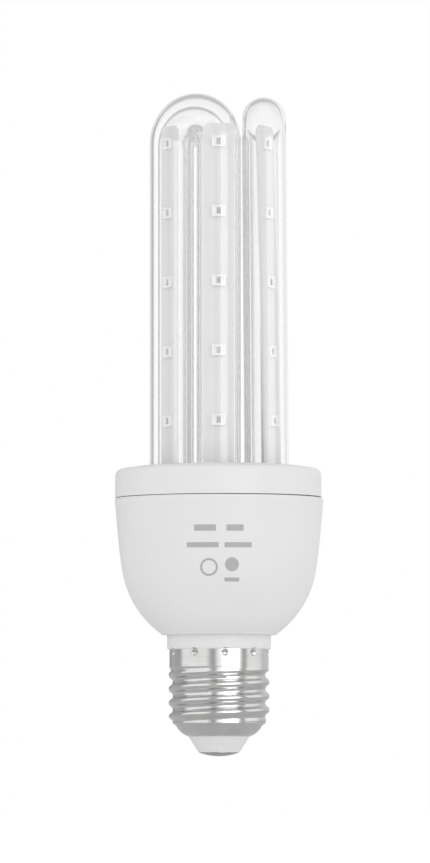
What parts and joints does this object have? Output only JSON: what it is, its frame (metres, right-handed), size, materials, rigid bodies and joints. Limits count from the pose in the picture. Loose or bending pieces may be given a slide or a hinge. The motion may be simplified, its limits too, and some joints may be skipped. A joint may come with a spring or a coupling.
{
  "type": "led insect killer lamp",
  "caption": "Screw-cap LED lamp with U-shaped clear glass tubes over white LED strips, on a white moulded housing.",
  "frame": {"origin": "tip of the centre contact, on the lamp's axis", "axes": "+Z along the lamp's axis from the cap up to the tubes, +X towards the U tube that stands edge on in the front view, -Y towards the front"},
  "size_m": [0.0544, 0.0544, 0.1721],
  "materials": {
    "housing_plastic": "satin moulded",
    "clear_glass": "polished",
    "strip_board": "white solder mask",
    "led_package": "moulded white",
    "led_die": "clear gel over a small dark die",
    "cap_metal": "bright nickel plate",
    "insulator_plastic": "moulded",
    "contact_metal": "nickel plate",
    "print_ink": "pad print",
    "driver_board": "solder mask",
    "capacitor_sleeve": "sleeve",
    "ferrite": "coated",
    "chip_black": "moulded",
    "resistor_coat": "lacquer",
    "wire_insulation": "extruded",
    "bare_wire": "tinned"
  },
  "bodies": {
    "root": {"bridge_rectifier": "chip_black", "cap_insulator": "insulator_plastic", "cap_shell": "cap_metal", "centre_contact": "contact_metal", "contact_lead": "wire_insulation", "driver_board": "driver_board", "driver_chip": "chip_black", "electrolytic_capacitor": "capacitor_sleeve", "filter_inductor": "ferrite", "fusible_resistor": "resistor_coat", "led_1_1": "led_package", "led_1_2": "led_package", "led_1_3": "led_package", "led_1_4": "led_package", "led_1_5": "led_package", "led_2_1": "led_package", "led_2_2": "led_package", "led_2_3": "led_package", "led_2_4": "led_package", "led_2_5": "led_package", "led_3_1": "led_package", "led_3_2": "led_package", "led_3_3": "led_package", "led_3_4": "led_package", "led_3_5": "led_package", "led_4_1": "led_package", "led_4_2": "led_package", "led_4_3": "led_package", "led_4_4": "led_package", "led_4_5": "led_package", "led_5_1": "led_package", "led_5_2": "led_package", "led_5_3": "led_package", "led_5_4": "led_package", "led_5_5": "led_package", "led_6_1": "led_package", "led_6_2": "led_package", "led_6_3": "led_package", "led_6_4": "led_package", "led_6_5": "led_package", "led_strip_1": "strip_board", "led_strip_2": "strip_board", "led_strip_3": "strip_board", "led_strip_4": "strip_board", "led_strip_5": "strip_board", "led_strip_6": "strip_board", "lower_housing": "housing_plastic", "shell_lead": "bare_wire", "strip_feed_in": "wire_insulation", "strip_feed_out": "wire_insulation", "strip_jumper_1": "wire_insulation", "strip_jumper_2": "wire_insulation", "strip_jumper_3": "wire_insulation", "strip_jumper_4": "wire_insulation", "strip_jumper_5": "wire_insulation", "u_tube_front": "clear_glass", "u_tube_rear": "clear_glass", "u_tube_right": "clear_glass", "upper_cover": "housing_plastic"}
  },
  "joints": []
}
